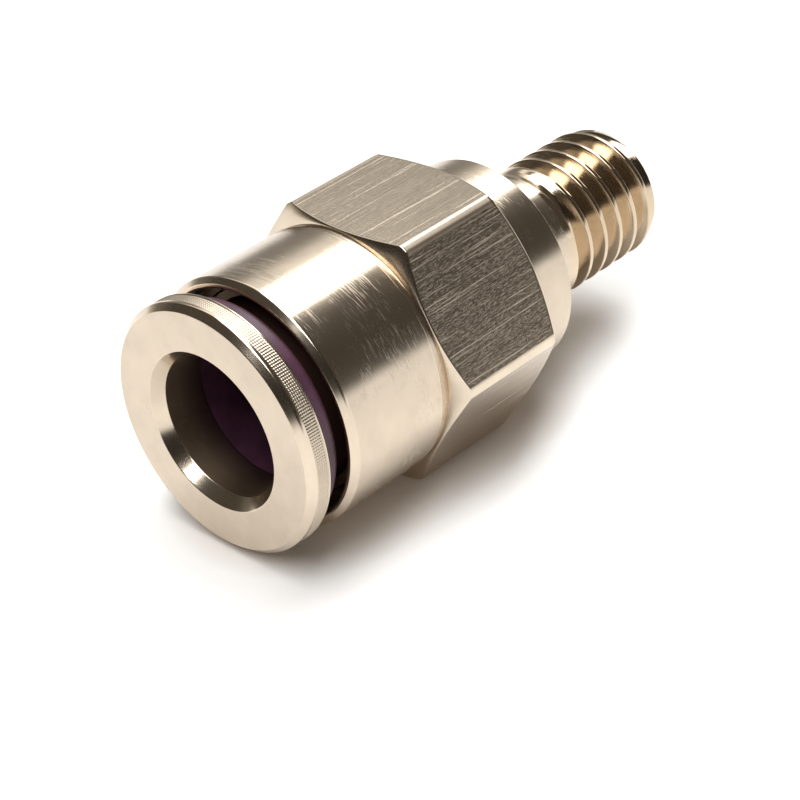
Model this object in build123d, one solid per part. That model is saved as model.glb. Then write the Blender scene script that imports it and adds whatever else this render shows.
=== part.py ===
from build123d import *
import math
import os

# Straight push-in fitting for plastic tube, with a male stud. The axis is X: the origin is on the axis
# in the plane where the stud leaves the shoulder, +X points out of the stud, and a flat of the hexagon
# faces +Z. All sizes are in millimetres. An x value is a place along the axis, and r a radius.

# Tube and stud
tube_d = 6.0
tube_clearance = 0.05
stud_d = 6.0
stud_length = 8.2
stud_chamfer = 0.45
stud_wall = 1.4
flow_chamfer = 0.2

# Body, outside. The barrel lies under the flats of the hexagon, and the shoulder lies under the barrel.
barrel_length = 5.3
barrel_under_flats = 0.05
hex_edge_radius = 0.35
hex_chamfer_angle = 31.0
shoulder_under_barrel = 0.75
shoulder_length = 2.55
shoulder_chamfer = 0.12
relief_width = 0.3
relief_depth = 0.08
lip_outer_chamfer = 0.22
lip_inner_chamfer = 0.1

# Body, inside
barrel_wall = 0.9
lip_wall = 0.45
mouth_depth = 1.45
head_clearance = 0.25
seal_space = 1.5
seat_depth = 2.3
seat_chamfer = 0.3
stop_from_shoulder = 1.45

# Release collar
collar_under_barrel = 0.05
collar_length = 1.16
collar_face_chamfer = 0.3
collar_face_chamfer_length = 0.2
collar_back_chamfer = 0.1
collar_entry_chamfer = 0.4
collar_entry_length = 0.5
neck_length = 1.24
neck_wall = 0.4
release_stroke = 1.0
stroke_margin = 0.05
gap_when_pushed = 0.14

# Collet
flange_length = 0.94
flange_front_chamfer = 0.15
flange_back_radius = 0.35
flange_clearance = 0.1
neck_fit = 0.02
collet_bore_clearance = 0.1
collet_wall = 0.85
collet_length = 7.84
finger_count = 6
slot_width = 0.6
slot_length = 4.4
head_height = 0.35
head_length = 0.9
head_cone_length = 0.9
head_end_chamfer = 0.15

# Claws
claw_thickness = 0.4
claw_height = 0.75
claw_tip_width = 0.1
claw_from_end = 0.4
claw_end_gap = 0.05
claw_back_gap = 0.01
claw_tube_gap = 0.01

# Cone ring
ring_clearance = 0.05
ring_cone_gap = 0.1
ring_cone_length = 0.65
ring_edge_chamfer = 0.1
press_interference = 0.01

# Support ring and seal
support_length = 0.9
seal_corner = 0.4
seal_wall_gap = 0.02
seal_tube_gap = 0.01

# Radii around the tube, from the tube outwards to the flats of the hexagon
tube_r = tube_d / 2
socket_r = tube_r + tube_clearance
neck_r = socket_r + neck_wall
collet_bore_r = tube_r + collet_bore_clearance
collet_r = collet_bore_r + collet_wall
head_r = collet_r + head_height
cartridge_r = head_r + head_clearance
pressed_r = cartridge_r + press_interference
barrel_r = cartridge_r + barrel_wall
flats_r = barrel_r + barrel_under_flats
corner_r = flats_r / math.cos(math.pi / 6)

# Radii that follow from the tube's and the barrel's
claw_tip_r = tube_r + claw_tube_gap
claw_seat_r = tube_r + claw_height
claw_back_r = claw_seat_r - claw_back_gap
seal_bore_r = tube_r + seal_tube_gap
seal_r = cartridge_r - seal_wall_gap
mouth_r = barrel_r - lip_wall
flange_r = mouth_r - flange_clearance
collar_r = barrel_r - collar_under_barrel
shoulder_r = barrel_r - shoulder_under_barrel
stud_r = stud_d / 2
flow_r = stud_r - stud_wall

# Stations inside, from the tube stop forward to the release collar
tube_stop_x = -stop_from_shoulder
gland_end_x = tube_stop_x - seat_depth
support_back_x = gland_end_x - seal_space
support_front_x = support_back_x - support_length
collet_end_x = support_front_x - stroke_margin - release_stroke
claw_back_x = collet_end_x - claw_from_end
claw_front_x = claw_back_x - claw_thickness
head_x = collet_end_x - head_length
head_cone_x = head_x - head_cone_length
collar_back_x = collet_end_x - collet_length
collar_front_x = collar_back_x - collar_length
neck_end_x = collar_back_x + neck_length
flange_back_x = collar_back_x + flange_length

# Stations outside: the hexagon is as long as the barrel and the shoulder leave it
lip_x = collar_back_x + release_stroke + gap_when_pushed
hex_front_x = lip_x + barrel_length
hex_back_x = -shoulder_length
ring_front_x = lip_x + mouth_depth
ring_cone_x = head_cone_x - ring_cone_gap
ring_back_x = ring_cone_x + ring_cone_length


def turned(outline):
    """A piece turned about the X axis, from its closed half section of (x, r) corners."""
    with BuildPart() as piece:
        with BuildSketch(Plane.XY):
            with BuildLine():
                Polyline(*outline, close=True)
            make_face()
        revolve(axis=Axis.X)
    return piece.part


def hexagon_bar():
    """The spanner hexagon with broken long edges, its corners turned off to a cone at both ends."""
    cone_run = (corner_r - barrel_r) * math.tan(math.radians(hex_chamfer_angle))
    with BuildPart() as bar:
        with BuildSketch(Plane.YZ.offset(hex_front_x)):
            section = RegularPolygon(flats_r, 6, major_radius=False)
            fillet(section.vertices(), radius=hex_edge_radius)
        extrude(amount=hex_back_x - hex_front_x)
    cones = turned(
        [
            (hex_front_x, 0),
            (hex_front_x, barrel_r),
            (hex_front_x + cone_run, corner_r),
            (hex_back_x - cone_run, corner_r),
            (hex_back_x, barrel_r),
            (hex_back_x, 0),
        ]
    )
    return bar.part & cones


def body():
    """Barrel, hexagon, shoulder and stud in one turned piece, bored for the tube and what grips it."""
    relief_r = barrel_r - relief_depth
    barrel = turned(
        [
            (lip_x, 0),
            (lip_x, barrel_r - lip_outer_chamfer),
            (lip_x + lip_outer_chamfer, barrel_r),
            (hex_front_x - relief_width, barrel_r),
            (hex_front_x - relief_width, relief_r),
            (hex_front_x, relief_r),
            (hex_front_x, 0),
        ]
    )
    shoulder_and_stud = turned(
        [
            (hex_back_x, 0),
            (hex_back_x, shoulder_r),
            (-shoulder_chamfer, shoulder_r),
            (0, shoulder_r - shoulder_chamfer),
            (0, stud_r),
            (stud_length - stud_chamfer, stud_r),
            (stud_length, stud_r - stud_chamfer),
            (stud_length, 0),
        ]
    )
    hollow = turned(
        [
            (lip_x, 0),
            (lip_x, mouth_r + lip_inner_chamfer),
            (lip_x + lip_inner_chamfer, mouth_r),
            (ring_front_x, mouth_r),
            (ring_front_x, cartridge_r),
            (gland_end_x, cartridge_r),
            (gland_end_x, socket_r + seat_chamfer),
            (gland_end_x + seat_chamfer, socket_r),
            (tube_stop_x, socket_r),
            (tube_stop_x, flow_r),
            (stud_length - flow_chamfer, flow_r),
            (stud_length, flow_r + flow_chamfer),
            (stud_length, 0),
        ]
    )
    return barrel + hexagon_bar() + shoulder_and_stud - hollow


def release_collar():
    """The metal ring that is pushed to free the tube, with a neck that lines the socket's mouth."""
    return turned(
        [
            (collar_front_x, socket_r + collar_entry_chamfer),
            (collar_front_x, collar_r - collar_face_chamfer),
            (collar_front_x + collar_face_chamfer_length, collar_r),
            (collar_back_x - collar_back_chamfer, collar_r),
            (collar_back_x, collar_r - collar_back_chamfer),
            (collar_back_x, neck_r),
            (neck_end_x, neck_r),
            (neck_end_x, socket_r),
            (collar_front_x + collar_entry_length, socket_r),
        ]
    )


def finger_slots():
    """The slots that part the collet's fingers, open at its inner end."""
    slot = Box(slot_length, slot_width, head_r + slot_width, align=(Align.MAX, Align.CENTER, Align.MIN))
    slot = slot.moved(Location((collet_end_x, 0, 0)))
    return [slot.rotate(Axis.X, 360 / finger_count * i) for i in range(finger_count)]


def collet():
    """The polymer sleeve: a rounded flange behind the collar, a tube, and fingers with wedge heads."""
    sleeve = turned(
        [
            (collar_back_x, neck_r + neck_fit),
            (collar_back_x, flange_r - flange_front_chamfer),
            (collar_back_x + flange_front_chamfer, flange_r),
            (flange_back_x, flange_r),
            (flange_back_x, collet_r),
            (head_cone_x, collet_r),
            (head_x, head_r),
            (collet_end_x - head_end_chamfer, head_r),
            (collet_end_x, head_r - head_end_chamfer),
            (collet_end_x, collet_bore_r),
            (claw_back_x, collet_bore_r),
            (claw_back_x, claw_seat_r),
            (claw_front_x, claw_seat_r),
            (claw_front_x, collet_bore_r),
            (neck_end_x + neck_fit, collet_bore_r),
            (neck_end_x + neck_fit, neck_r + neck_fit),
        ]
    )
    flange_edge = sleeve.edges().filter_by(GeomType.CIRCLE)
    flange_edge = flange_edge.filter_by(lambda edge: abs(edge.arc_center.X - flange_back_x) < 0.001)
    sleeve = fillet(flange_edge.sort_by(lambda edge: edge.radius)[-1], flange_back_radius)
    return sleeve - finger_slots()


def claws():
    """One claw for each finger: an arc of plate with a sharp inner edge that bites the tube."""
    edge_middle_x = claw_front_x + claw_thickness / 2
    ring = turned(
        [
            (claw_front_x, claw_back_r),
            (claw_front_x, collet_bore_r),
            (edge_middle_x, claw_tip_r),
            (edge_middle_x + claw_tip_width, claw_tip_r),
            (claw_back_x, collet_bore_r),
            (claw_back_x, claw_back_r),
        ]
    )
    gap_width = slot_width + 2 * claw_end_gap
    gap = Box(claw_thickness * 3, gap_width, head_r, align=(Align.CENTER, Align.CENTER, Align.MIN))
    gap = gap.moved(Location((edge_middle_x, 0, 0)))
    pieces = ring - [gap.rotate(Axis.X, 360 / finger_count * i) for i in range(finger_count)]
    return sorted(pieces.solids(), key=lambda claw: math.atan2(claw.center().Z, claw.center().Y))


def cone_ring():
    """The ring pressed in the body, whose cone closes the fingers when the tube is pulled."""
    bore_r = collet_r + ring_clearance
    cone_r = bore_r + ring_cone_length * head_height / head_cone_length
    return turned(
        [
            (ring_front_x, bore_r + ring_edge_chamfer),
            (ring_front_x, pressed_r - ring_edge_chamfer),
            (ring_front_x + ring_edge_chamfer, pressed_r),
            (ring_back_x, pressed_r),
            (ring_back_x, cone_r),
            (ring_cone_x, bore_r),
            (ring_front_x + ring_edge_chamfer, bore_r),
        ]
    )


def support_ring():
    """The polymer ring pressed in behind the fingers, which keeps the seal in its space."""
    return turned(
        [
            (support_front_x, collet_bore_r),
            (support_front_x, pressed_r - ring_edge_chamfer),
            (support_front_x + ring_edge_chamfer, pressed_r),
            (support_back_x, pressed_r),
            (support_back_x, collet_bore_r),
        ]
    )


def tube_seal():
    """The rubber ring around the tube, held between the support ring and the end of its space."""
    return turned(
        [
            (support_back_x, seal_bore_r + seal_corner),
            (support_back_x, seal_r - seal_corner),
            (support_back_x + seal_corner, seal_r),
            (gland_end_x - seal_corner, seal_r),
            (gland_end_x, seal_r - seal_corner),
            (gland_end_x, seal_bore_r + seal_corner),
            (gland_end_x - seal_corner, seal_bore_r),
            (support_back_x + seal_corner, seal_bore_r),
        ]
    )


pieces = {
    "body": body(),
    "release_collar": release_collar(),
    "collet": collet(),
    "cone_ring": cone_ring(),
    "support_ring": support_ring(),
    "tube_seal": tube_seal(),
}
for number, claw in enumerate(claws(), start=1):
    pieces[f"claw_{number}"] = claw

os.makedirs("parts", exist_ok=True)
for name, piece in pieces.items():
    piece.label = name
    export_step(piece, f"parts/{name}.step")
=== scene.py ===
import math

import bmesh
import bpy
import numpy as np
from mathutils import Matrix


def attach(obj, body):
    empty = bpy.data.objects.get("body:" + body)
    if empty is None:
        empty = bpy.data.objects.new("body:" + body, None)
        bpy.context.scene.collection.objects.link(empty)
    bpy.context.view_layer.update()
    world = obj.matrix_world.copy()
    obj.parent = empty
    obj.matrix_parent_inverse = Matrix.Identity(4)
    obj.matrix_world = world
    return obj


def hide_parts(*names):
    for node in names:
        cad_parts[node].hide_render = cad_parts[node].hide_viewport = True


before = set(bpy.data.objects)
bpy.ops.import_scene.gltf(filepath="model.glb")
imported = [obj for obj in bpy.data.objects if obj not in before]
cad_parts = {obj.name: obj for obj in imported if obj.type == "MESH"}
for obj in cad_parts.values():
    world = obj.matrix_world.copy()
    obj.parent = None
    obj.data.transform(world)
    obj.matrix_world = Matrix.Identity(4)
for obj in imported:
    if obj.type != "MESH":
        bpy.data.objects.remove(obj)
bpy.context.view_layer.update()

MM = 0.001
SHARP_ANGLE = math.radians(40)

# Places and radii of the fitting, in millimetres, along X and out from the axis
LIP_X = -13.9
LIP_CHAMFER = 0.22
LIP_EDGE = 0.12
MOUTH_CHAMFER = 0.1
MOUTH_R = 5.0
BARREL_R = 5.45
RELIEF_X = -8.9
RELIEF_R = 5.37
RELIEF_EDGE = 0.08
RELIEF_SLOPE = 0.02
HEX_FRONT_X = -8.6
HEX_BACK_X = -2.55
HEX_FRONT_EDGE = 0.06
HEX_BACK_EDGE = 0.12
HEX_CHAMFER = math.tan(math.radians(31.0))
FLATS_R = 5.5
SHOULDER_R = 4.7
SHOULDER_CHAMFER = 0.12
RING_FRONT_X = -12.45
CARTRIDGE_R = 4.55
GLAND_END_X = -3.75
SEAT_CHAMFER = 0.3
SOCKET_R = 3.05
TUBE_STOP_X = -1.45
FLOW_R = 1.6
FLOW_CHAMFER = 0.2
STUD_R = 3.0
STUD_END_X = 8.2
STUD_CHAMFER = 0.45
COLLAR_FRONT_X = -16.2
COLLAR_BACK_X = -15.04
COLLAR_R = 5.4
COLLAR_FACE_CHAMFER = 0.27
COLLAR_BACK_CHAMFER = 0.1
ENTRY_CHAMFER = 0.4
ENTRY_RUN = 0.5
NECK_END_X = -13.8
NECK_R = 3.45

# The long edges of the hexagon: how far out they are worn, how softly, and their share of half a flat
HEX_WORN_R = 6.258
HEX_WORN_SOFT = 0.014
HEX_WORN_SHARE = 0.1

# Thread: crest and root as shares of the pitch, and where it begins and fades
THREAD_PITCH = 1.0
THREAD_DEPTH = 0.6
THREAD_CREST = 0.085
THREAD_ROOT = 0.365
THREAD_CREST_ROUND = 0.07
THREAD_ROOT_ROUND = 0.1
THREAD_FROM_X = 2.0
THREAD_CREST_X = 0.87
THREAD_START_X = 2.55
THREAD_RUN_IN = 0.3
THREAD_RUN_OUT = 1.3
THREAD_FADE_END_X = STUD_END_X + 0.15

# Knurl: fine teeth along the collar, crossed by rings
KNURL_TEETH = 288
KNURL_ROWS = 6
KNURL_STEPS = (0.0, 0.6, 1.0, 0.6)
KNURL_DEPTH = 0.042
KNURL_RIM = 0.13
KNURL_BACK_RIM = 0.05

# The materials of the body and of the collar, as they are numbered on their meshes
TURNED, FLATS, THREAD, INSIDE, EDGE, WORN_AND_HIGHLIT = range(6)
FACE, KNURL, NECK, RIM = range(4)

# Colours, where the metal is scratched, and where shade is painted: inside the fitting, deeper in the collar's
# neck, and on the back of the polymer's flange in the gap behind the collar
NICKEL = (0.6, 0.51, 0.405)
# Painted shade: a darker copy of the nickel for the surfaces inside the body, its mouth and the cone ring
SHADED_NICKEL = (0.22, 0.155, 0.105)
# Painted shade in the collar's neck: a darker copy of the nickel, darker still towards the end of the neck over
# its depth
SHADED_NECK_NICKEL = (0.25, 0.185, 0.125)
NECK_DEEP_SHADE = (0.1, 0.05, 0.055)
NECK_DEPTH = 2.6
GOLD = (0.61, 0.5, 0.37)
STEEL = (0.5, 0.49, 0.47)
PURPLE = (0.06, 0.02, 0.04)
DARK_POLYMER = (0.03, 0.03, 0.032)
RUBBER = (0.018, 0.018, 0.018)
SCRATCHED_PLACE = (-11.4, -3.9, 3.9)
SCRATCHED_REACH = 4.5
# Painted shade: the back of the collet's flange and the recess past it, in the gap between collar and body,
# turn a dark brown that stands in for shade
GAP_SHADE_COLOR = (0.1, 0.05, 0.04)
GAP_SHADE_X = -14.3
GAP_SHADE_EDGE = 0.1
GAP_SHADE_R = 3.5

# Floor, light and camera: the floor's height and its painted shadow are in millimetres, the rest in metres
FLOOR_Z = -5.5
FLOOR_HALF = 0.5
FLOOR_COLOR = (0.86, 0.86, 0.86)
FLOOR_GLOW = (0.06, 0.05, 0.04)
# Painted shadow on the floor: a warm brown under and beside the fitting, fading out over its reach
PAINTED_SHADOW_COLOR = (0.44, 0.36, 0.3)
PAINTED_SHADOW_X = -7.2
PAINTED_SHADOW_HALF = 4.7
PAINTED_SHADOW_REACH = 5.6
LIGHT_CENTRE = (-0.108, -0.016, 1.2)
LIGHT_SIZE = (2.48, 0.69)
LIGHT_TURN = 22.0
LIGHT_RADIANCE = 6.4
ROOM_BLACK = (0.035, 0.03, 0.025)
ROOM_DARK = (0.085, 0.074, 0.06)
ROOM_DIM = (0.3, 0.29, 0.27)
ROOM_GLOW = (1.62, 1.6, 1.54)
SWEEP_NEAR = (1.35, 1.35, 1.35)
SWEEP_FAR = (0.75, 0.68, 0.55)
SWEEP_TOP = 0.1
BEHIND = (0.69, 0.72, 0.0)
RIGHT = (0.6, -0.8, 0.0)
FAR_SIDE = (-0.25, 0.97, 0.0)
CAMERA_PLACE = (-0.0635234, -0.0581038, 0.050029)
CAMERA_TURN = (56.50759, 3.685634, -47.22752)
CAMERA_LENS = 105.294


# Meshes

def rounded(corners, steps=3, hold=0.03):
    """A line of (x, r, radius, material) corners as rows of points, each corner rounded to its radius.

    Each x and r is a number, or one value per angle. A row's material is that of the faces after it.
    """
    size = max(np.size(v) for c in corners for v in c[:2])
    pts = [np.stack([np.broadcast_to(np.asarray(v, float), (size,)) for v in c[:2]], -1) for c in corners]
    rows, mats = [], []
    count = len(corners)
    for i in range(count):
        radius, mat = corners[i][2], corners[i][3]
        if radius == 0 or i in (0, count - 1):
            rows.append(pts[i])
            mats.append(mat)
            continue
        before = pts[i - 1] - pts[i]
        after = pts[i + 1] - pts[i]
        len_b = np.linalg.norm(before, axis=1, keepdims=True)
        len_a = np.linalg.norm(after, axis=1, keepdims=True)
        before, after = before / len_b, after / len_a
        half = 0.5 * np.arccos(np.clip(-(before * after).sum(1, keepdims=True), -1, 1))
        cut = np.minimum(radius * np.tan(half), 0.4 * np.minimum(len_b, len_a))
        gap_b = np.minimum(hold, 0.2 * len_b)
        gap_a = np.minimum(hold, 0.2 * len_a)
        start, end = pts[i] + before * cut, pts[i] + after * cut
        rows.append(start + before * gap_b)
        mats.append(corners[i - 1][3])
        for k in range(steps + 1):
            t = k / steps
            rows.append((1 - t) ** 2 * start + 2 * t * (1 - t) * pts[i] + t * t * end)
            mats.append(mat if t > 0.45 else corners[i - 1][3])
        rows.append(end + after * gap_a)
        mats.append(mat)
    return np.array(rows), mats


def lathe(rows, theta):
    """Rows of (x, r) points turned through the angles, as points."""
    rows = np.broadcast_to(rows, (rows.shape[0], len(theta), 2))
    x, r = rows[..., 0], rows[..., 1]
    return np.stack([x, r * np.cos(theta), r * np.sin(theta)], -1)


def grid_faces(row_count, angle_count, first=0, turn_shift=0):
    """Quads of a closed turned grid, where a row goes on at the seam as the row turn_shift later."""
    faces = []
    for i in range(row_count - 1):
        for j in range(angle_count):
            k = (j + 1) % angle_count
            s = turn_shift if k == 0 else 0
            if i + 1 + s >= row_count:
                continue
            a, b = i * angle_count + j, (i + 1) * angle_count + j
            c, d = (i + 1 + s) * angle_count + k, (i + s) * angle_count + k
            faces.append((first + a, first + d, first + c, first + b))
    return faces


def mesh_object(name, points, faces, mat_ids, materials):
    """A mesh object in metres from points in millimetres, merged at its seams, smooth between sharp edges."""
    mesh = bpy.data.meshes.new(name)
    mesh.from_pydata([tuple(p) for p in points * MM], [], faces)
    mesh.polygons.foreach_set("material_index", mat_ids)
    work = bmesh.new()
    work.from_mesh(mesh)
    bmesh.ops.remove_doubles(work, verts=work.verts, dist=1e-7)
    bmesh.ops.dissolve_degenerate(work, edges=work.edges, dist=1e-8)
    bmesh.ops.recalc_face_normals(work, faces=work.faces)
    for face in work.faces:
        face.smooth = True
    for edge in work.edges:
        if len(edge.link_faces) == 2 and edge.calc_face_angle(0) > SHARP_ANGLE:
            edge.smooth = False
    work.to_mesh(mesh)
    work.free()
    for material in materials:
        mesh.materials.append(material)
    obj = bpy.data.objects.new(name, mesh)
    bpy.context.scene.collection.objects.link(obj)
    return obj


def hex_angles():
    """Angles round the hexagon, its radius at each, and whether the angle is on one of its worn edges."""
    half = math.pi / 6
    edge = HEX_WORN_SHARE * half
    over_flat = np.linspace(-half + edge, half - edge, 30)
    over_edge = np.linspace(half - edge, half + edge, 15)[1:-1]
    sector = np.concatenate([over_flat, over_edge])
    theta = np.sort(np.concatenate([math.pi / 2 + k * 2 * half + sector for k in range(6)]))
    from_flat = (theta - math.pi / 2 + half) % (2 * half) - half
    from_edge = (theta - math.pi / 2) % (2 * half) - half
    planes = np.stack([
        FLATS_R / np.cos(from_flat),
        FLATS_R / np.cos(2 * half - np.abs(from_flat)),
        HEX_WORN_R / np.cos(from_edge),
    ])
    nearest = planes.min(0)
    radius = nearest - HEX_WORN_SOFT * np.log(np.exp(-(planes - nearest) / HEX_WORN_SOFT).sum(0))
    return theta, radius, np.abs(from_edge) < 0.75 * edge


def thread_profile():
    """One pitch of the thread, crest first, as shares of the pitch and depths, with rounded corners."""
    corners = [
        (0.0, 0.0, 0, THREAD),
        (THREAD_CREST * THREAD_PITCH, 0.0, THREAD_CREST_ROUND, THREAD),
        (THREAD_ROOT * THREAD_PITCH, THREAD_DEPTH, THREAD_ROOT_ROUND, THREAD),
        ((1 - THREAD_ROOT) * THREAD_PITCH, THREAD_DEPTH, THREAD_ROOT_ROUND, THREAD),
        ((1 - THREAD_CREST) * THREAD_PITCH, 0.0, THREAD_CREST_ROUND, THREAD),
        (THREAD_PITCH, 0.0, 0, THREAD),
    ]
    line = rounded(corners, steps=4, hold=0.02)[0][:, 0, :]
    return line[:-1, 0] / THREAD_PITCH, line[:-1, 1]


def thread_rows(theta):
    """Rows of the threaded stud, how many make one pitch, and the radius where it meets the end face."""
    share, depth = thread_profile()
    turn = (theta - theta[0]) / (2 * math.pi)
    first_x = THREAD_CREST_X + theta[0] / (2 * math.pi) * THREAD_PITCH

    def thread_r(x):
        """The radius at x for every angle: a short run-in, full depth, and shallower at the very end."""
        along = (x - first_x) / THREAD_PITCH - turn
        depth_here = np.interp(along % 1.0, np.append(share, 1.0), np.append(depth, 0.0))
        groove_x = first_x + (np.floor(along) + 0.5 + turn) * THREAD_PITCH
        fade = np.clip((groove_x - THREAD_START_X) / THREAD_RUN_IN, 0, 1)
        fade = fade * np.clip((THREAD_FADE_END_X - x) / THREAD_RUN_OUT, 0, 1)
        return STUD_R - depth_here * fade * fade * (3 - 2 * fade)

    turns = int(math.ceil((STUD_END_X - first_x) / THREAD_PITCH)) + 1
    stations = np.concatenate([(k + share) * THREAD_PITCH for k in range(turns)]) + first_x
    x = np.clip(stations[:, None] + THREAD_PITCH * turn[None, :], THREAD_FROM_X, STUD_END_X)
    chamfer_r = STUD_R - np.clip(x - (STUD_END_X - STUD_CHAMFER), 0, None)
    rows = np.stack([x, np.minimum(thread_r(x), chamfer_r)], -1)
    end_r = np.minimum(thread_r(np.full_like(turn, STUD_END_X)), STUD_R - STUD_CHAMFER)
    return rows, len(share), end_r


def body_outside(hex_r):
    """Corners of the body's outside, from the mouth over barrel, hexagon and shoulder to the thread."""
    cone_run = (hex_r - BARREL_R) * HEX_CHAMFER
    return [
        (RING_FRONT_X, MOUTH_R, 0, INSIDE),
        (LIP_X + MOUTH_CHAMFER, MOUTH_R, 0.03, INSIDE),
        (LIP_X, MOUTH_R + MOUTH_CHAMFER, 0.03, EDGE),
        (LIP_X, BARREL_R - LIP_CHAMFER, 0.05, EDGE),
        (LIP_X + LIP_CHAMFER, BARREL_R, 0.1, EDGE),
        (LIP_X + LIP_CHAMFER + LIP_EDGE, BARREL_R, 0.0, TURNED),
        (RELIEF_X - RELIEF_EDGE, BARREL_R, 0.0, EDGE),
        (RELIEF_X, BARREL_R, 0.06, EDGE),
        (RELIEF_X + RELIEF_SLOPE, RELIEF_R, 0.02, TURNED),
        (HEX_FRONT_X, RELIEF_R, 0.0, EDGE),
        (HEX_FRONT_X, BARREL_R, 0.0, EDGE),
        (HEX_FRONT_X + cone_run, hex_r, 0.1, EDGE),
        (HEX_FRONT_X + cone_run + HEX_FRONT_EDGE, hex_r, 0.0, FLATS),
        (HEX_BACK_X - cone_run - HEX_BACK_EDGE, hex_r, 0.0, EDGE),
        (HEX_BACK_X - cone_run, hex_r, 0.2, EDGE),
        (HEX_BACK_X, BARREL_R, 0.03, TURNED),
        (HEX_BACK_X, SHOULDER_R, 0.0, TURNED),
        (-SHOULDER_CHAMFER, SHOULDER_R, 0.04, TURNED),
        (0.0, SHOULDER_R - SHOULDER_CHAMFER, 0.04, TURNED),
        (0.0, STUD_R, 0.0, TURNED),
        (THREAD_FROM_X, STUD_R, 0.0, THREAD),
    ]


def body_hollow(end_r):
    """Corners of the stud's end face and the hollow inside, back to the mouth."""
    return [
        (STUD_END_X, end_r, 0.0, THREAD),
        (STUD_END_X, FLOW_R + FLOW_CHAMFER, 0.04, THREAD),
        (STUD_END_X - FLOW_CHAMFER, FLOW_R, 0.04, INSIDE),
        (TUBE_STOP_X, FLOW_R, 0.03, INSIDE),
        (TUBE_STOP_X, SOCKET_R, 0.0, INSIDE),
        (GLAND_END_X + SEAT_CHAMFER, SOCKET_R, 0.04, INSIDE),
        (GLAND_END_X, SOCKET_R + SEAT_CHAMFER, 0.0, INSIDE),
        (GLAND_END_X, CARTRIDGE_R, 0.0, INSIDE),
        (RING_FRONT_X, CARTRIDGE_R, 0.0, INSIDE),
        (RING_FRONT_X, MOUTH_R, 0.0, INSIDE),
    ]


def body_mesh(materials):
    """Barrel, hexagon, shoulder and threaded stud, bored through, finely faceted."""
    theta, hex_r, on_edge = hex_angles()
    outside, outside_mats = rounded(body_outside(hex_r))
    thread, rows_per_pitch, end_r = thread_rows(theta)
    hollow, hollow_mats = rounded(body_hollow(end_r))
    points, faces, ids = [], [], []
    first = 0
    for rows, mats, turn_shift in (
        (outside, outside_mats, 0),
        (thread, [THREAD] * len(thread), rows_per_pitch),
        (hollow, hollow_mats, 0),
    ):
        points.append(lathe(rows, theta).reshape(-1, 3))
        made = grid_faces(len(rows), len(theta), first, turn_shift)
        faces += made
        for face in made:
            row, column = divmod(face[0] - first, len(theta))
            ids.append(WORN_AND_HIGHLIT if mats[row] == FLATS and on_edge[column] else mats[row])
        first += len(points[-1])
    return mesh_object("body_turned", np.concatenate(points), faces, ids, materials)


def knurl_rows(across):
    """Rows of the cross-cut rim between its two plain edges, across being the cut's share at each angle."""
    front = COLLAR_FRONT_X + COLLAR_FACE_CHAMFER + KNURL_RIM
    back = COLLAR_BACK_X - COLLAR_BACK_CHAMFER - KNURL_BACK_RIM
    last = KNURL_ROWS * len(KNURL_STEPS)
    rows = [(front, COLLAR_R, 0.0, KNURL)]
    for step in range(1, last):
        along = KNURL_STEPS[step % len(KNURL_STEPS)]
        depth = KNURL_DEPTH * (1 - (1 - 0.9 * across) * (1 - 0.95 * along))
        rows.append((front + (back - front) * step / last, COLLAR_R - depth, 0.0, KNURL))
    rows.append((back, COLLAR_R, 0.0, RIM))
    return rows


def collar_mesh(materials):
    """The release collar with its finely cross-cut rim, and the neck that lines the socket's mouth."""
    angle_count = KNURL_TEETH * len(KNURL_STEPS)
    theta = np.arange(angle_count) * (2 * math.pi / angle_count)
    corners = [
        (NECK_END_X, NECK_R, 0, NECK),
        (NECK_END_X, SOCKET_R, 0.05, NECK),
        (COLLAR_FRONT_X + ENTRY_RUN, SOCKET_R, 0.05, RIM),
        (COLLAR_FRONT_X, SOCKET_R + ENTRY_CHAMFER, 0.06, FACE),
        (COLLAR_FRONT_X, COLLAR_R - COLLAR_FACE_CHAMFER, 0.06, RIM),
        (COLLAR_FRONT_X + COLLAR_FACE_CHAMFER, COLLAR_R, 0.1, RIM),
        *knurl_rows(np.tile(KNURL_STEPS, KNURL_TEETH)),
        (COLLAR_BACK_X - COLLAR_BACK_CHAMFER, COLLAR_R, 0.03, RIM),
        (COLLAR_BACK_X, COLLAR_R - COLLAR_BACK_CHAMFER, 0.03, RIM),
        (COLLAR_BACK_X, NECK_R, 0.0, NECK),
        (NECK_END_X, NECK_R, 0, NECK),
    ]
    rows, mats = rounded(corners)
    points = lathe(rows, theta).reshape(-1, 3)
    faces = grid_faces(len(rows), angle_count)
    ids = [mats[face[0] // angle_count] for face in faces]
    return mesh_object("release_collar_knurled", points, faces, ids, materials)


# Materials

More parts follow.
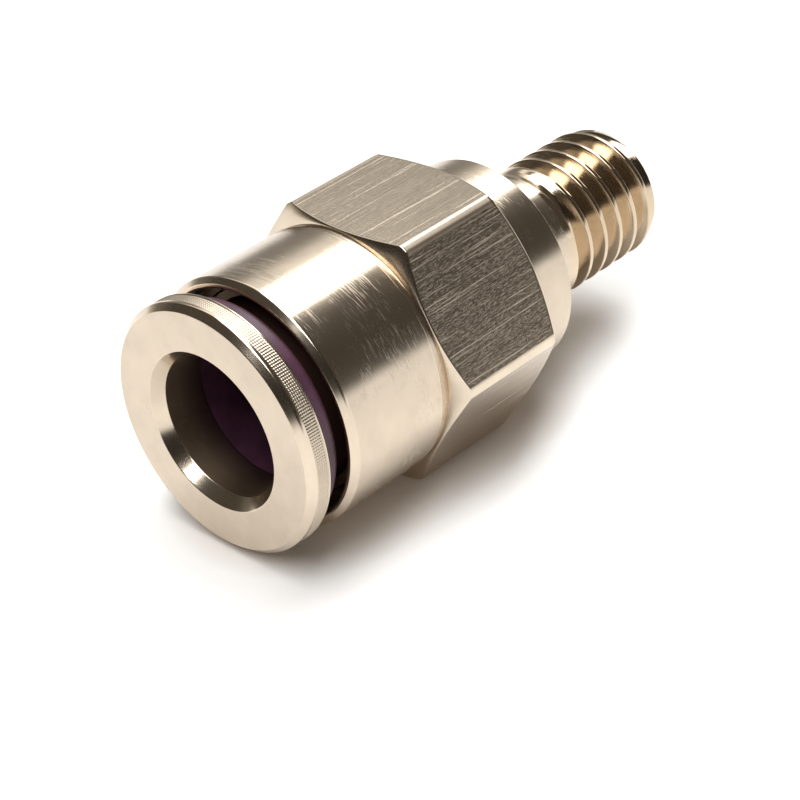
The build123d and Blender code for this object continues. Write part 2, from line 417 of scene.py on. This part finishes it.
class Nodes:
    """A small builder for the nodes of a material or a world."""

    def __init__(self, owner):
        owner.use_nodes = True
        self.owner = owner
        self.tree = owner.node_tree

    def node(self, kind, inputs=None, **settings):
        """A new node with its settings, and each input set to a value or linked to another node's output."""
        made = self.tree.nodes.new(kind)
        for key, value in settings.items():
            setattr(made, key, value)
        for key, value in (inputs or {}).items():
            self.feed(made.inputs[key], value)
        return made

    def feed(self, socket, value):
        """A socket linked to an output, or set to a plain value."""
        if isinstance(value, bpy.types.NodeSocket):
            self.tree.links.new(value, socket)
        else:
            socket.default_value = value

    def calc(self, operation, a, b=0.0):
        """One step of arithmetic."""
        return self.node("ShaderNodeMath", {0: a, 1: b}, operation=operation).outputs[0]

    def position(self):
        """The place on the object, in millimetres, and its parts."""
        coords = self.node("ShaderNodeTexCoord").outputs["Object"]
        place = self.node("ShaderNodeVectorMath", {0: coords, 3: 1000.0}, operation="SCALE").outputs[0]
        parts = self.node("ShaderNodeSeparateXYZ", {0: place})
        return place, parts.outputs[0], parts.outputs[1], parts.outputs[2]

    def radius(self, y, z):
        """The length of the vector (y, z)."""
        squares = self.calc("ADD", self.calc("MULTIPLY", y, y), self.calc("MULTIPLY", z, z))
        return self.calc("SQRT", squares)

    def vector(self, x, y, z):
        """A vector from its parts."""
        return self.node("ShaderNodeCombineXYZ", {0: x, 1: y, 2: z}).outputs[0]

    def scaled(self, vector, x, y, z):
        """A vector with each part multiplied."""
        return self.node("ShaderNodeVectorMath", {0: vector, 1: (x, y, z)}, operation="MULTIPLY").outputs[0]

    def noise(self, vector, scale, detail=3.0, rough=0.6):
        """Smooth noise around a half."""
        settings = {"Vector": vector, "Scale": scale, "Detail": detail, "Roughness": rough}
        return self.node("ShaderNodeTexNoise", settings).outputs["Fac"]

    def ramp(self, value, *stops):
        """A ramp from (place, grey or colour) stops."""
        made = self.node("ShaderNodeValToRGB", {0: value})
        elements = made.color_ramp.elements
        while len(elements) < len(stops):
            elements.new(0.5)
        for element, (place, color) in zip(elements, stops):
            element.position = place
            element.color = (*color, 1) if hasattr(color, "__len__") else (color, color, color, 1)
        return made.outputs[0]

    def mix(self, share, a, b, blend="MIX"):
        """Two colours mixed by a share."""
        made = self.node("ShaderNodeMix", data_type="RGBA", blend_type=blend)
        for index, value in ((0, share), (6, a), (7, b)):
            self.feed(made.inputs[index], (*value, 1) if isinstance(value, tuple) else value)
        return made.outputs[2]

    def bump(self, height, strength, distance, under=None):
        """A bumped normal, over another one where that is given."""
        inputs = {"Height": height, "Strength": strength, "Distance": distance}
        if under is not None:
            inputs["Normal"] = under
        return self.node("ShaderNodeBump", inputs).outputs[0]

    def link(self, output, name):
        """An output linked to the shader's input of this name."""
        self.tree.links.new(output, self.tree.nodes["Principled BSDF"].inputs[name])

    def brush_along_turning(self):
        """The direction around the axis as the tangent of the metal's gloss."""
        self.link(self.node("ShaderNodeTangent", direction_type="RADIAL", axis="X").outputs[0], "Tangent")


def surface(name, color, metallic, roughness, anisotropic=0.0, rotation=0.0):
    """The nodes of a new material with these plain values."""
    m = Nodes(bpy.data.materials.new(name))
    inputs = m.tree.nodes["Principled BSDF"].inputs
    inputs["Base Color"].default_value = (*color, 1)
    inputs["Metallic"].default_value = metallic
    inputs["Roughness"].default_value = roughness
    inputs["Anisotropic"].default_value = anisotropic
    inputs["Anisotropic Rotation"].default_value = rotation
    return m


def lighter(color, factor):
    """The colour made lighter or darker, and no more than white."""
    return tuple(min(1.0, c * factor) for c in color)


def axis_coords(m):
    """The place on the object with its x, its radius from the axis and its direction around it."""
    place, x, y, z = m.position()
    r = m.radius(y, z)
    return place, x, r, m.vector(m.calc("DIVIDE", y, r), m.calc("DIVIDE", z, r), 0.0)


def stretched(m, x, r, around, fine, along):
    """A place to read noise at: fine across the turning marks and slow along them."""
    across = m.vector(m.calc("MULTIPLY", x, fine), m.calc("MULTIPLY", r, fine), 0.0)
    parts = {0: across, 1: m.scaled(around, along, along, along)}
    return m.node("ShaderNodeVectorMath", parts, operation="ADD").outputs[0]


def scratch_marks(m, place, x, r, around):
    """Short scratches around the axis, in patches, most of them in one place on the barrel."""
    strokes = m.ramp(m.noise(stretched(m, x, r, around, 15.0, 8.0), 1.0), (0.55, 0.0), (0.66, 1.0))
    away = m.node("ShaderNodeVectorMath", {0: place, 1: SCRATCHED_PLACE}, operation="DISTANCE")
    share = m.calc("DIVIDE", away.outputs["Value"], SCRATCHED_REACH)
    more = m.ramp(share, (0.2, 0.11), (1.0, 0.0))
    patch = m.ramp(m.calc("ADD", m.noise(place, 0.42), more), (0.5, 0.0), (0.63, 1.0))
    return m.mix(1.0, strokes, patch, "MULTIPLY")


def turned_metal(name, color, roughness, scratches=1.0, anisotropic=0.7, rings=0.25, deep_shade=None):
    """Plated metal turned on a lathe: fine rings round the axis, short scratches and a slightly uneven tone.

    Given a deep shade colour, painted shade darkens the metal towards that colour further inside the socket.
    """
    m = surface(name, color, 1.0, roughness, anisotropic, 0.25)
    place, x, r, around = axis_coords(m)
    fine = m.noise(stretched(m, x, r, around, 16.0, 0.7), 1.0, 4.0, 0.7)
    marks = scratch_marks(m, place, x, r, around)
    tone = m.ramp(m.noise(place, 0.9), (0.3, lighter(color, 0.93)), (0.7, lighter(color, 1.04)))
    # painted shade: darker deeper inside the socket
    if deep_shade is not None:
        inwards = m.calc("DIVIDE", m.calc("ADD", x, -COLLAR_FRONT_X), NECK_DEPTH)
        tone = m.mix(m.ramp(inwards, (0.45, 0.0), (0.95, 1.0)), tone, deep_shade)
    m.link(tone, "Base Color")
    rough = m.calc("ADD", roughness - 0.03, m.calc("MULTIPLY", fine, 0.06))
    rough = m.calc("ADD", rough, m.calc("MULTIPLY", marks, 0.22 * scratches))
    m.link(rough, "Roughness")
    ringed = m.bump(fine, rings, 4e-6)
    m.link(m.bump(marks, 0.35 * scratches, 1e-5, ringed), "Normal")
    m.brush_along_turning()
    return m.owner


def brushed_metal(name, color, roughness):
    """Plated metal drawn lengthways: streaks along the axis, with longer bright lines and specks among them."""
    m = surface(name, color, 1.0, roughness, 0.6)
    place = m.position()[0]
    streaks = m.noise(m.scaled(place, 0.3, 14.0, 14.0), 1.0, 5.0, 0.8)
    lines = m.ramp(m.noise(m.scaled(place, 0.1, 9.0, 9.0), 1.0, 4.0, 0.7), (0.6, 0.0), (0.66, 1.0))
    specks = m.ramp(m.noise(m.scaled(place, 5.0, 16.0, 16.0), 1.0, 3.0, 0.7), (0.5, 0.0), (0.72, 1.0))
    tone = m.ramp(streaks, (0.34, lighter(color, 0.8)), (0.64, lighter(color, 1.08)))
    tone = m.mix(m.calc("MULTIPLY", lines, 0.35), tone, lighter(color, 1.5))
    m.link(tone, "Base Color")
    marks = m.calc("MAXIMUM", lines, m.calc("MULTIPLY", specks, 0.6))
    rough = m.calc("ADD", roughness - 0.04, m.calc("MULTIPLY", streaks, 0.08))
    m.link(m.calc("ADD", rough, m.calc("MULTIPLY", marks, 0.14)), "Roughness")
    streaked = m.bump(streaks, 0.35, 0.8e-5)
    specked = m.bump(specks, 0.2, 1e-5, streaked)
    m.link(m.bump(lines, 0.2, 1e-5, specked), "Normal")
    m.brush_along_turning()
    return m.owner


def polymer(name, color, roughness):
    """Moulded polymer or rubber with a faint mottle and fine moulding marks."""
    m = surface(name, color, 0.0, roughness)
    place = m.position()[0]
    cloud = m.noise(place, 1.1, 4.0)
    m.link(m.ramp(cloud, (0.35, lighter(color, 0.8)), (0.65, lighter(color, 1.2))), "Base Color")
    m.link(m.calc("ADD", roughness - 0.05, m.calc("MULTIPLY", m.noise(place, 3.0), 0.1)), "Roughness")
    m.link(m.bump(m.noise(place, 6.0), 0.1, 6e-6), "Normal")
    return m.owner


def collet_polymer(name, color, roughness):
    """Purple moulded polymer, with painted shade on the back part of its flange, where it sits in the gap
    behind the collar.
    """
    m = surface(name, color, 0.0, roughness)
    place, x, r, around = axis_coords(m)
    uneven = m.calc("MULTIPLY", m.noise(place, 2.0), 0.12)
    # painted shade: past a point on the axis, the flange's outside turns a dark brown metal that reflects
    # little, standing in for the shade in the gap
    past = m.calc("ADD", m.calc("SUBTRACT", x, GAP_SHADE_X), uneven)
    back = m.ramp(m.calc("DIVIDE", past, GAP_SHADE_EDGE), (0.0, 0.0), (1.0, 1.0))
    outer = m.calc("GREATER_THAN", r, GAP_SHADE_R)
    gap_shade = m.mix(1.0, back, outer, "MULTIPLY")
    cloud = m.noise(place, 0.8)
    tone = m.ramp(cloud, (0.35, lighter(color, 0.75)), (0.65, lighter(color, 1.3)))
    m.link(m.mix(gap_shade, tone, GAP_SHADE_COLOR), "Base Color")
    m.link(gap_shade, "Metallic")
    m.link(m.calc("ADD", roughness, m.calc("MULTIPLY", gap_shade, 0.25)), "Roughness")
    m.link(m.bump(m.noise(place, 5.0), 0.1, 6e-6), "Normal")
    return m.owner


# Floor, light and camera

def floor_plane():
    """The white table that the fitting lies on, with a warm painted shadow on it close to the fitting."""
    m = surface("floor_white", FLOOR_COLOR, 0.0, 0.6)
    _, x, y, _ = m.position()
    from_middle = m.calc("ABSOLUTE", m.calc("SUBTRACT", x, PAINTED_SHADOW_X))
    past_ends = m.calc("MAXIMUM", m.calc("SUBTRACT", from_middle, PAINTED_SHADOW_HALF), 0.0)
    away = m.calc("DIVIDE", m.radius(y, past_ends), PAINTED_SHADOW_REACH)
    # painted shadow: the floor's colour darkens to warm brown towards the fitting
    m.link(m.ramp(away, (0.25, PAINTED_SHADOW_COLOR), (1.0, FLOOR_COLOR)), "Base Color")
    inputs = m.tree.nodes["Principled BSDF"].inputs
    inputs["Emission Color"].default_value = (*FLOOR_GLOW, 1)
    inputs["Emission Strength"].default_value = 1.0
    half, z = FLOOR_HALF, FLOOR_Z * MM
    corners = [(-half, -half, z), (half, -half, z), (half, half, z), (-half, half, z)]
    mesh = bpy.data.meshes.new("floor")
    mesh.from_pydata(corners, [], [(0, 1, 2, 3)])
    mesh.materials.append(m.owner)
    obj = bpy.data.objects.new("floor", mesh)
    bpy.context.scene.collection.objects.link(obj)


def softbox():
    """The large rectangular light overhead, a little behind the fitting, its brightness given as radiance."""
    light = bpy.data.lights.new("softbox", "AREA")
    light.shape = "RECTANGLE"
    light.size, light.size_y = LIGHT_SIZE
    light.energy = LIGHT_RADIANCE * math.pi * LIGHT_SIZE[0] * LIGHT_SIZE[1]
    obj = bpy.data.objects.new("softbox", light)
    obj.location = LIGHT_CENTRE
    obj.rotation_euler = (0, 0, math.radians(LIGHT_TURN))
    bpy.context.scene.collection.objects.link(obj)


def half_dot(m, direction, towards):
    """How far a direction points one way, from 0 for away to 1 for towards."""
    dot = m.node("ShaderNodeVectorMath", {0: direction, 1: towards}, operation="DOT_PRODUCT").outputs["Value"]
    return m.calc("ADD", m.calc("MULTIPLY", dot, 0.5), 0.5)


def studio_world():
    """A white sweep up to just over the horizon, and above it a room that glows on the far side."""
    world = bpy.data.worlds.new("studio")
    bpy.context.scene.world = world
    m = Nodes(world)
    direction = m.node("ShaderNodeTexCoord").outputs["Generated"]
    height = m.node("ShaderNodeSeparateXYZ", {0: direction}).outputs[2]
    behind = half_dot(m, direction, BEHIND)
    room = m.ramp(behind, (0.3, ROOM_BLACK), (0.45, ROOM_DARK), (0.72, ROOM_DARK), (0.88, ROOM_DIM))
    high = m.ramp(height, (0.46, 0.0), (0.6, 1.0))
    glow = m.mix(1.0, high, m.ramp(behind, (0.76, 0.0), (0.88, 1.0)), "MULTIPLY")
    room = m.mix(glow, room, ROOM_GLOW)
    to_right = m.ramp(half_dot(m, direction, RIGHT), (0.6, 0.0), (0.9, 1.0))
    over_sweep = m.calc("SUBTRACT", height, m.calc("MULTIPLY", to_right, SWEEP_TOP))
    above = m.calc("ADD", m.calc("MULTIPLY", over_sweep, 0.5), 0.5)
    sweep = m.ramp(half_dot(m, direction, FAR_SIDE), (0.8, SWEEP_NEAR), (0.93, SWEEP_FAR))
    color = m.mix(m.ramp(above, (0.49, 0.0), (0.54, 1.0)), sweep, room)
    m.tree.links.new(color, m.tree.nodes["Background"].inputs[0])


def photo_camera():
    """The camera at the photograph's viewing angle."""
    data = bpy.data.cameras.new("camera")
    data.sensor_width = 36.0
    data.lens = CAMERA_LENS
    data.clip_start, data.clip_end = 0.005, 20.0
    obj = bpy.data.objects.new("camera", data)
    obj.location = CAMERA_PLACE
    obj.rotation_euler = [math.radians(v) for v in CAMERA_TURN]
    bpy.context.scene.collection.objects.link(obj)
    bpy.context.scene.camera = obj


# The fitting in its materials

nickel_turned = turned_metal("nickel_turned", NICKEL, 0.23)
nickel_face = turned_metal("nickel_face", NICKEL, 0.3, scratches=0.15, anisotropic=0.5)
# Lighter copies of the nickel for edges and the hexagon's long worn edges: partly a burnished finish, partly
# painted highlight that brightens their bright rims
nickel_edge = turned_metal(
    "nickel_edge", lighter(NICKEL, 1.1), 0.17, scratches=0.0, anisotropic=0.3, rings=0.12
)
nickel_worn_and_highlit = turned_metal(
    "nickel_worn_and_highlit", lighter(NICKEL, 1.15), 0.32, scratches=0.0, anisotropic=0.0, rings=0.1
)
nickel_flats = brushed_metal("nickel_flats", NICKEL, 0.15)
# painted shade: the bore, the mouth and the cone ring take the darker copy of the nickel
nickel_inside = turned_metal("nickel_inside", SHADED_NICKEL, 0.5, scratches=0.3, anisotropic=0.2)
# painted shade: the collar's neck in a darker copy of the nickel, darker still further in
nickel_neck = turned_metal("nickel_neck", SHADED_NECK_NICKEL, 0.5, scratches=0.6, anisotropic=0.2, deep_shade=NECK_DEEP_SHADE)
nickel_knurled = turned_metal(
    "nickel_knurled", lighter(NICKEL, 0.9), 0.3, scratches=0.0, anisotropic=0.0, rings=0.1
)
thread_gold = turned_metal("thread_gold", GOLD, 0.12, scratches=0.2, anisotropic=0.2, rings=1.2)

body = body_mesh([nickel_turned, nickel_flats, thread_gold, nickel_inside, nickel_edge, nickel_worn_and_highlit])
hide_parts("body")
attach(body, "fitting")

collar = collar_mesh([nickel_face, nickel_knurled, nickel_neck, nickel_edge])
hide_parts("release_collar")
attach(collar, "release")

stainless = turned_metal("stainless", STEEL, 0.3, scratches=0.3)
node_materials = {
    "collet": collet_polymer("purple_polymer", PURPLE, 0.45),
    "cone_ring": nickel_inside,
    "support_ring": polymer("dark_polymer", DARK_POLYMER, 0.45),
    "tube_seal": polymer("seal_rubber", RUBBER, 0.6),
    **{f"claw_{i}": stainless for i in range(1, 7)},
}
for node, material in node_materials.items():
    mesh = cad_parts[node].data
    mesh.materials.clear()
    mesh.materials.append(material)

floor_plane()
softbox()
studio_world()
photo_camera()

scene = bpy.context.scene
scene.view_settings.view_transform = "Standard"
scene.view_settings.look = "None"
scene.cycles.use_denoising = True
